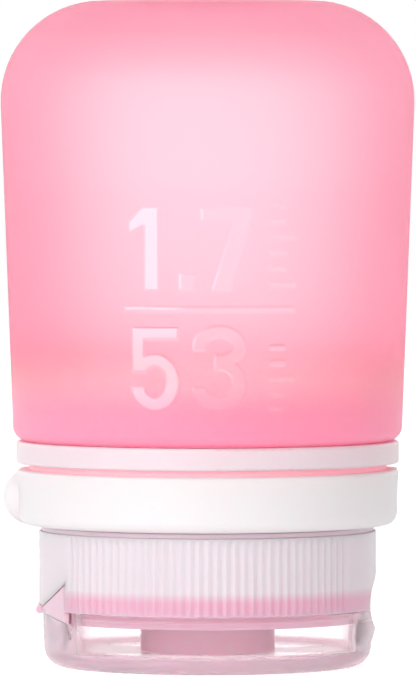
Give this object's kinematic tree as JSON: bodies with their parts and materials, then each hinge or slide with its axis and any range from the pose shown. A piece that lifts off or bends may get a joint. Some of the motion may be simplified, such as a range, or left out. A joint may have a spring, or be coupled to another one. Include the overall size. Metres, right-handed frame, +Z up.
{
  "type": "travel silicone bottle",
  "caption": "Squeezable travel bottle: hollow silicone body clamped to a threaded collar with a carrying loop, closed by a screw cap with a flip lid and a slit valve.",
  "frame": {"origin": "on the bottle's axis at the outer face of the flip lid, on which it stands", "axes": "+Z up along the bottle's axis to the closed end; -X to the lid hinge and the loop knob, +X to the thumb scoop"},
  "size_m": [0.043, 0.043, 0.0692],
  "materials": {
    "pink_silicone": "frosted translucent pink silicone with a fine satin skin",
    "milky_plastic": "milky white plastic, satin",
    "white_plastic": "opaque white moulded plastic, smooth satin",
    "frosted_plastic": "clear polypropylene with a frosted, finely ribbed outside",
    "clear_plastic": "clear glossy polypropylene",
    "clear_silicone": "clear soft silicone"
  },
  "bodies": {
    "bottle": {"bottle_body": "pink_silicone", "clamp_ring": "milky_plastic", "threaded_collar": "white_plastic", "loop_pin": "white_plastic"},
    "loop": {"loop_gate": "white_plastic"},
    "seal": {"cap_seal": "pink_silicone"},
    "cap": {"screw_cap": "frosted_plastic", "slit_valve": "clear_silicone", "valve_retainer": "white_plastic"},
    "web": {"hinge_web": "frosted_plastic"},
    "lid": {"flip_lid": "clear_plastic"}
  },
  "joints": [
    {"name": "cap_travel", "type": "slide", "parent": "bottle", "child": "seal", "axis": [0, 0, -1], "range_m": [0, 0.0046]},
    {"name": "cap_turn", "type": "hinge", "parent": "seal", "child": "cap", "pos_m": [0, 0, 0.01], "axis": [0, 0, -1], "range_deg": [0, 540]},
    {"name": "lid_fold", "type": "hinge", "parent": "cap", "child": "lid", "pos_m": [-0.01742, 0, 0.006], "axis": [0, 1, 0], "range_deg": [0, 150]},
    {"name": "web_fold", "type": "hinge", "parent": "cap", "child": "web", "pos_m": [-0.01742, 0, 0.006], "axis": [0, 1, 0], "range_deg": [0, 76]},
    {"name": "loop_swing", "type": "hinge", "parent": "bottle", "child": "loop", "pos_m": [0.01866, 0.003, 0.01762], "axis": [0, 0, 1], "range_deg": [0, 105]}
  ],
  "couplings": [
    {"joint": "cap_travel", "follows": "cap_turn", "m_per_rad": 0.00047746},
    {"joint": "web_fold", "follows": "lid_fold", "ratio": 0.5}
  ]
}
